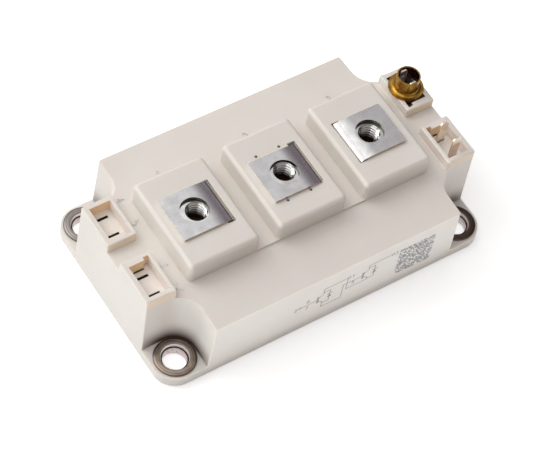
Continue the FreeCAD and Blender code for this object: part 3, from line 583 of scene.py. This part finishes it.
class Strip:
    """A terminal drawn flat as (along, across) and then folded. Along runs towards the bend,
    which stands out by reach and comes back to the leg's own line inside the slot."""

    def __init__(self, reach):
        self.reach = reach
        self.bend_start = STRIP_HALF + reach - OUTER_BEND
        self.bend_length = OUTER_BEND * math.pi / 2
        self.bend_end = self.bend_start + self.bend_length
        self.leg_end = self.bend_end + TERMINAL_TOP - OUTER_BEND - (FOOT_BOTTOM + FOOT_BEND)
        self.foot_start = self.leg_end + FOOT_BEND * math.pi / 2
        self.end = self.foot_start + FOOT_LENGTH - FOOT_INNER_BEND

    def outline(self):
        neck = self.bend_start + self.bend_length * 0.62
        shoulder = neck + 0.3
        corner_x = -STRIP_HALF + STRIP_CORNER
        corner_y = STRIP_HALF_WIDTH - STRIP_CORNER
        points = arc((corner_x, -corner_y), STRIP_CORNER, 180, 270, 5)
        points += [(neck, -STRIP_HALF_WIDTH), (shoulder, 0.15 - STRIP_HALF_WIDTH),
                   (shoulder, -LEG_HALF_WIDTH), (self.end, -LEG_HALF_WIDTH),
                   (self.end, LEG_HALF_WIDTH), (shoulder, LEG_HALF_WIDTH),
                   (shoulder, STRIP_HALF_WIDTH - 0.15), (neck, STRIP_HALF_WIDTH)]
        return points + arc((corner_x, corner_y), STRIP_CORNER, 90, 180, 5)

    def cuts(self):
        """Places along the strip where its faces are divided, so that they can bend."""
        crown = spread(2.0, 3.85, 11)
        bend = spread(self.bend_start, self.bend_length, 12)
        leg = spread(self.bend_end, 6.4, 8)[1:]
        foot = spread(self.leg_end, 1.9, 8)
        return crown + bend + leg + foot

    def flat(self):
        work = bmesh.new()
        edges = []
        for points in (self.outline(), circle((0, 0), SCREW_HOLE, 72)):
            loop = [work.verts.new((x, y, 0)) for x, y in points]
            edges += [work.edges.new(pair) for pair in zip(loop, loop[1:] + loop[:1])]
        bmesh.ops.triangle_fill(work, use_beauty=True, edges=edges)
        for x in self.cuts():
            geometry = work.verts[:] + work.edges[:] + work.faces[:]
            bmesh.ops.bisect_plane(work, geom=geometry, plane_co=(x, 0, 0), plane_no=(1, 0, 0), dist=1e-5)
        for face in work.faces:
            if face.normal.z < 0:
                face.normal_flip()
        made = bmesh.ops.extrude_face_region(work, geom=work.faces[:])
        for item in made["geom"]:
            if isinstance(item, bmesh.types.BMVert):
                item.co.z -= STRIP_THICKNESS
        work.normal_update()
        rim = [edge for edge in work.edges
               if len(edge.link_faces) == 2 and edge.calc_face_angle(0.0) > math.radians(60)
               and max(vert.co.z for vert in edge.verts) > -0.1]
        bmesh.ops.bevel(work, geom=rim, offset=STRIP_RIM, offset_type="OFFSET", segments=2,
                        profile=0.6, affect="EDGES", clamp_overlap=True)
        work.verts.index_update()
        return work

    def fold(self, along, depth):
        """Where a spot of the flat strip ends up, as its place across the bend and its height."""
        share = depth / STRIP_THICKNESS
        sink = CROWN * max(0.0, min(along, self.bend_start) - CROWN_START) ** 2 * (1 - share)
        if along <= self.bend_start:
            return along, TERMINAL_TOP - sink - depth
        if along <= self.bend_end:
            angle = (along - self.bend_start) / OUTER_BEND
            radius = OUTER_BEND - (OUTER_BEND - INNER_BEND) * share
            height = TERMINAL_TOP - OUTER_BEND + (radius - sink) * math.cos(angle)
            return self.bend_start + radius * math.sin(angle), height
        if along <= self.leg_end:
            height = TERMINAL_TOP - OUTER_BEND - (along - self.bend_end)
            back = min(1.0, max(0.0, (TERMINAL_TOP - RETURN_DROP - height) / RETURN_LENGTH))
            return STRIP_HALF + self.reach * (1 - back * back * (3 - 2 * back)) - depth, height
        angle = min((along - self.leg_end) / FOOT_BEND, math.pi / 2)
        radius = FOOT_INNER_BEND + depth
        beyond = max(0.0, along - self.foot_start)
        return (STRIP_HALF + FOOT_INNER_BEND - radius * math.cos(angle) + beyond,
                FOOT_BOTTOM + FOOT_BEND - radius * math.sin(angle))

    def mesh(self, side, place):
        """The folded strip with its screw hole at a place, bent down towards one side in x."""
        work = self.flat()
        vertices = []
        for vert in work.verts:
            x, z = self.fold(vert.co.x, -vert.co.z)
            vertices.append((place[0] + side * x, place[1] + vert.co.y, z))
        faces = [tuple(vert.index for vert in face.verts) for face in work.faces]
        work.free()
        return vertices, faces


for number, side, reach in (("1", 1, 0.95), ("2", 1, 0.9), ("3", -1, 0.3)):
    name = f"main_terminal_{number}"
    low, high = cad_box(name)
    hole_x = low.x + STRIP_HALF if side > 0 else high.x - STRIP_HALF
    shape = Strip(reach).mesh(side, (hole_x, middle(name).y))
    strip = piece(f"terminal_strip_{number}", *shape, NICKEL, "plated_terminal", 40, even=True)
    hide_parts(name)


# Marks and print: thin raised shapes drawn with two coordinates on a plane
class Sheet:
    """Gathers shapes on the plane that a corner and the directions across and upward give."""

    SINK = 0.02

    def __init__(self, corner, across, upward, lift):
        self.corner = Vector(corner)
        self.across = Vector(across).normalized()
        self.upward = Vector(upward).normalized()
        self.out = self.across.cross(self.upward)
        self.lift = lift
        self.vertices = []
        self.faces = []

    def shape(self, corners):
        base = len(self.vertices)
        count = len(corners)
        for depth in (self.lift, -self.SINK):
            for u, v in corners:
                spot = self.corner + self.across * u + self.upward * v + self.out * depth
                self.vertices.append(tuple(spot))
        self.faces.append(tuple(base + i for i in range(count)))
        self.faces.append(tuple(base + count + i for i in reversed(range(count))))
        for i in range(count):
            j = (i + 1) % count
            self.faces.append((base + i, base + count + i, base + count + j, base + j))

    def box(self, low, high):
        self.shape([low, (high[0], low[1]), high, (low[0], high[1])])

    def bar(self, start, stop, width):
        """A straight bar that ends half its width beyond both points."""
        du = stop[0] - start[0]
        dv = stop[1] - start[1]
        scale = width / 2 / math.hypot(du, dv)
        du *= scale
        dv *= scale
        self.shape([(start[0] - du + dv, start[1] - dv - du), (stop[0] + du + dv, stop[1] + dv - du),
                    (stop[0] + du - dv, stop[1] + dv + du), (start[0] - du - dv, start[1] - dv + du)])

    def path(self, points, width):
        for first, second in zip(points, points[1:]):
            self.bar(first, second, width)

    def digit(self, text, corner, height, width):
        scale = height / 2
        self.path([(corner[0] + u * scale, corner[1] + v * scale) for u, v in STROKES[text]], width)

    def finish(self, name, material):
        piece(name, self.vertices, self.faces, material, "housing_plastic", 0)


# Digits as one stroke each, on a field one wide and two high
STROKES = {
    "1": [(0.2, 1.55), (0.6, 2), (0.6, 0)],
    "2": [(0, 1.6), (0.3, 2), (0.7, 2), (1, 1.6), (1, 1.2), (0, 0), (1, 0)],
    "3": [(0, 1.7), (0.3, 2), (0.7, 2), (1, 1.6), (0.7, 1.1), (1, 0.6), (0.7, 0), (0.3, 0), (0, 0.3)],
    "4": [(0.75, 0), (0.75, 2), (0, 0.65), (1, 0.65)],
    "5": [(0.95, 2), (0.1, 2), (0, 1.15), (0.6, 1.25), (1, 0.85), (1, 0.4), (0.65, 0), (0, 0.1)],
    "6": [(0.9, 2), (0.3, 1.7), (0, 1), (0, 0.4), (0.3, 0), (0.7, 0), (1, 0.4), (1, 0.8), (0.7, 1.15),
          (0.1, 1)],
    "7": [(0, 2), (1, 2), (0.35, 0)],
}

# Moulded numbers and a cross on the left deck, moulded numbers on the rear roof
MOULDED_LIFT = 0.07
deck = Sheet((0, 0, DECK_TOP), (0, -1, 0), (1, 0, 0), MOULDED_LIFT)
for text, corner in (("4", (-16.6, -42.6)), ("5", (-8.3, -42.6)), ("7", (6.7, -42.9))):
    deck.digit(text, corner, 2.0, 0.32)
deck.bar((13.6, -41.6), (17.2, -43.9), 0.3)
deck.bar((14.6, -43.4), (16.1, -41.3), 0.3)
deck.finish("moulded_tab_numbers", PLASTIC)

roof_slope = (DECK_TOP - WALL_TOP) / (HALF_WIDTH - WALL_LEAN - ROOF_START)
roof = Sheet((0, ROOF_START, DECK_TOP), (1, 0, 0), (0, 1, -roof_slope), MOULDED_LIFT)
for text, across in (("1", -28.4), ("2", -0.4), ("3", 27.6)):
    roof.digit(text, (across, 2.2), 2.4, 0.36)
roof.finish("moulded_terminal_numbers", PLASTIC)


# Print on the front wall, with heights from the ear's top: a field of squares and a symbol
def front_print():
    lean = WALL_LEAN / (WALL_TOP - EAR_TOP)
    return Sheet((0, -HALF_WIDTH, EAR_TOP), (1, 0, 0), (0, lean, 1), 0.015)


FIELD_LEFT = 20.3
FIELD_BOTTOM = 1.6
FIELD_SIZE = 12.0
CELLS = 28
CELL = FIELD_SIZE / CELLS
FILLED_SHARE = 0.56
squares = front_print()
field = np.random.default_rng(7).random((CELLS, CELLS)) < FILLED_SHARE
for row in range(CELLS):
    bottom = FIELD_BOTTOM + row * CELL
    run = None
    for column in range(CELLS + 1):
        filled = column < CELLS and field[row][column]
        if filled and run is None:
            run = column
        if not filled and run is not None:
            squares.box((FIELD_LEFT + run * CELL, bottom), (FIELD_LEFT + column * CELL, bottom + CELL))
            run = None
squares.finish("printed_squares", INK)

LINE = 0.22
symbol = front_print()


def switch(u, v):
    """A transistor with its diode beside it, as on a circuit diagram."""
    def at(across, upward):
        return (u + 1.25 * across, v + 1.25 * upward)

    symbol.path([at(-1.6, 0), at(-0.6, 0)], LINE)
    symbol.bar(at(-0.6, -1.1), at(-0.6, 1.1), 0.3)
    symbol.bar(at(-0.3, -1.1), at(-0.3, 1.1), 0.3)
    symbol.path([at(-0.3, 0.6), at(0.9, 1.5), at(0.9, 2.2)], LINE)
    symbol.path([at(-0.3, -0.6), at(0.9, -1.5), at(0.9, -2.2)], LINE)
    symbol.path([at(0.9, 2.0), at(2.6, 2.0), at(2.6, -2.0), at(0.9, -2.0)], LINE)
    symbol.shape([at(2.0, -0.7), at(3.2, -0.7), at(2.6, 0.5)])
    symbol.bar(at(2.0, 0.6), at(3.2, 0.6), 0.26)


switch(-5.6, 8.0)
switch(9.0, 9.6)
WIRES = (
    [(-11.5, 8.0), (-7.6, 8.0)],
    [(-4.5, 10.7), (-4.5, 12.2), (-1.0, 12.2), (3.2, 12.2)],
    [(3.2, 12.2), (3.2, 6.8), (10.1, 6.8)],
    [(-4.5, 5.2), (-4.5, 3.6), (2.0, 3.6), (2.0, 9.6), (7.0, 9.6)],
    [(10.1, 12.3), (10.1, 13.4), (17.5, 13.4)],
)
for points in WIRES:
    symbol.path(points, LINE)
for centre in ((-11.9, 8.0), (3.6, 12.2), (17.9, 13.4)):
    ring = circle(centre, 0.45, 12)
    symbol.path(ring + ring[:1], 0.2)
for text, corner in (("1", (4.6, 11.4)), ("2", (-13.6, 7.2)), ("3", (18.8, 12.6)), ("6", (-9.8, 9.0)),
                     ("7", (-9.8, 5.8)), ("5", (5.0, 8.0))):
    symbol.digit(text, corner, 1.3, 0.2)
symbol.finish("printed_symbol", INK)

# Floor: it keeps the shadow and glows a little where it is seen, with painted light that makes it glow more
# inside the mounting holes
FLOOR_HALF = 4.0
tree = Tree(bpy.data.materials.new("pale_floor"))
diffuse = tree.add("BsdfDiffuse", {"Color": (0.86, 0.86, 0.86, 1.0)}).outputs[0]
glow_with_painted_hole_light = tree.span(tree.radius(REAR_RIGHT_MOUNT, mirrored=True), 3.5 * MM, 3.8 * MM, 0.62, 0.42)
glow = tree.add("Emission", {"Color": (1, 1, 1, 1), "Strength": glow_with_painted_hole_light}).outputs[0]
ray = tree.add("LightPath").outputs
seen = tree.math("MAXIMUM", ray["Is Camera Ray"], ray["Is Glossy Ray"])
lifted = tree.add("AddShader", {0: diffuse, 1: glow}).outputs[0]
floor_material = tree.finish(tree.add("MixShader", {0: seen, 1: diffuse, 2: lifted}).outputs[0])
corners = [(x * FLOOR_HALF, y * FLOOR_HALF, 0) for x, y in ((-1, -1), (1, -1), (1, 1), (-1, 1))]
mesh = bpy.data.meshes.new("floor")
mesh.from_pydata(corners, [], [(0, 1, 2, 3)])
mesh.materials.append(floor_material)
floor = bpy.data.objects.new("floor", mesh)
floor.location.z = -0.2 * MM
bpy.context.scene.collection.objects.link(floor)

# World: a pale room, darker at the right and low at the front, white where the camera sees it
world = bpy.data.worlds.new("room")
bpy.context.scene.world = world
tree = Tree(world, "OutputWorld")
direction_seen = tree.add("TexCoord").outputs["Generated"]


def toward(direction, *stops):
    """A colour that depends on the angle to one direction, as rising stops of (cosine, colour)."""
    cosine = tree.vector("DOT_PRODUCT", direction_seen, Vector(direction).normalized())
    ramp = tree.add("ValToRGB", {"Fac": cosine})
    elements = ramp.color_ramp.elements
    while len(elements) < len(stops):
        elements.new(0.5)
    for index, (position, colour) in enumerate(stops):
        elements[index].position = position
        elements[index].color = rgba(colour)
    return ramp.outputs["Color"]


right_side = toward((0.95, 0.15, 0.30), (0.0, (1.0, 1.0, 1.0)), (0.65, (1.0, 1.0, 1.0)),
                    (0.72, (0.70, 0.69, 0.69)), (0.775, (0.29, 0.24, 0.28)), (0.93, (0.22, 0.18, 0.20)))
low_front = toward((0, -1, 0.1), (0.15, (1.0, 1.0, 1.0)), (0.85, (0.60, 0.57, 0.55)))
overhead = toward((0.10, 0.42, 0.90), (0.75, (1.06, 1.04, 1.02)), (0.93, (1.80, 1.80, 1.82)),
                  (0.96, (1.95, 1.96, 1.99)), (0.995, (3.4, 3.4, 3.3)))
sky_colour = tree.vector("MULTIPLY", tree.vector("MULTIPLY", right_side, low_front), overhead)
room = tree.add("Background", {"Color": sky_colour, "Strength": 0.525}).outputs[0]
white = tree.add("Background", {"Color": (1, 1, 1, 1), "Strength": 1.0}).outputs[0]
seen = tree.add("LightPath").outputs["Is Camera Ray"]
tree.finish(tree.add("MixShader", {0: seen, 1: room, 2: white}).outputs[0])


# Lamps in metres and watts, aimed at the part: azimuth 0 is the front and 270 the left
def from_part(azimuth, elevation):
    """The direction from the part that these two angles in degrees give."""
    a = math.radians(azimuth)
    e = math.radians(elevation)
    return Vector((math.sin(a) * math.cos(e), -math.cos(a) * math.cos(e), math.sin(e)))


def lamp(name, azimuth, elevation, width, power, height=None, away=1.0, colour=(1, 1, 1), aim=None):
    """A round lamp, or one with corners where a height is given, aimed at the part or as told."""
    data = bpy.data.lights.new(name, "AREA")
    data.color = colour
    data.shape = "RECTANGLE" if height else "ELLIPSE"
    data.size = width
    data.size_y = height or width
    data.energy = power
    item = bpy.data.objects.new(name, data)
    item.visible_camera = False
    direction = from_part(azimuth, elevation)
    item.location = direction * away
    item.rotation_mode = "QUATERNION"
    item.rotation_quaternion = Vector(aim or -direction).to_track_quat("-Z", "Y")
    bpy.context.scene.collection.objects.link(item)


lamp("rear_left", 218, 40, 0.7, 3.3)
lamp("left_high", 270, 58, 1.0, 2.1)
lamp("left_low", 270, 12, 0.35, 1.15, colour=(0.76, 0.95, 1.0))
lamp("table_front", 0, 1.0, 0.30, 0.052, 0.060, 0.066, (0.93, 0.97, 1.0), aim=(0, 0, 1))

# Camera at the photograph's viewing angle
ROLL = math.radians(12.947)
TARGET = Vector((-6.020, -5.587, 15.0)) * MM
DISTANCE = 606.33 * MM
back = from_part(-43.336, 55.051)
across = Vector((0, 0, 1)).cross(back).normalized()
up = back.cross(across)
right = math.cos(ROLL) * across + math.sin(ROLL) * up
top = -math.sin(ROLL) * across + math.cos(ROLL) * up
camera_data = bpy.data.cameras.new("camera")
camera_data.sensor_width = 36.0
camera_data.lens = 147.87
camera_data.clip_start = 0.05
camera_data.clip_end = 20.0
camera = bpy.data.objects.new("camera", camera_data)
bpy.context.scene.collection.objects.link(camera)
place = TARGET + back * DISTANCE
camera.matrix_world = Matrix((
    (right.x, top.x, back.x, place.x),
    (right.y, top.y, back.y, place.y),
    (right.z, top.z, back.z, place.z),
    (0, 0, 0, 1),
))
bpy.context.scene.camera = camera
bpy.context.scene.view_settings.view_transform = "Standard"
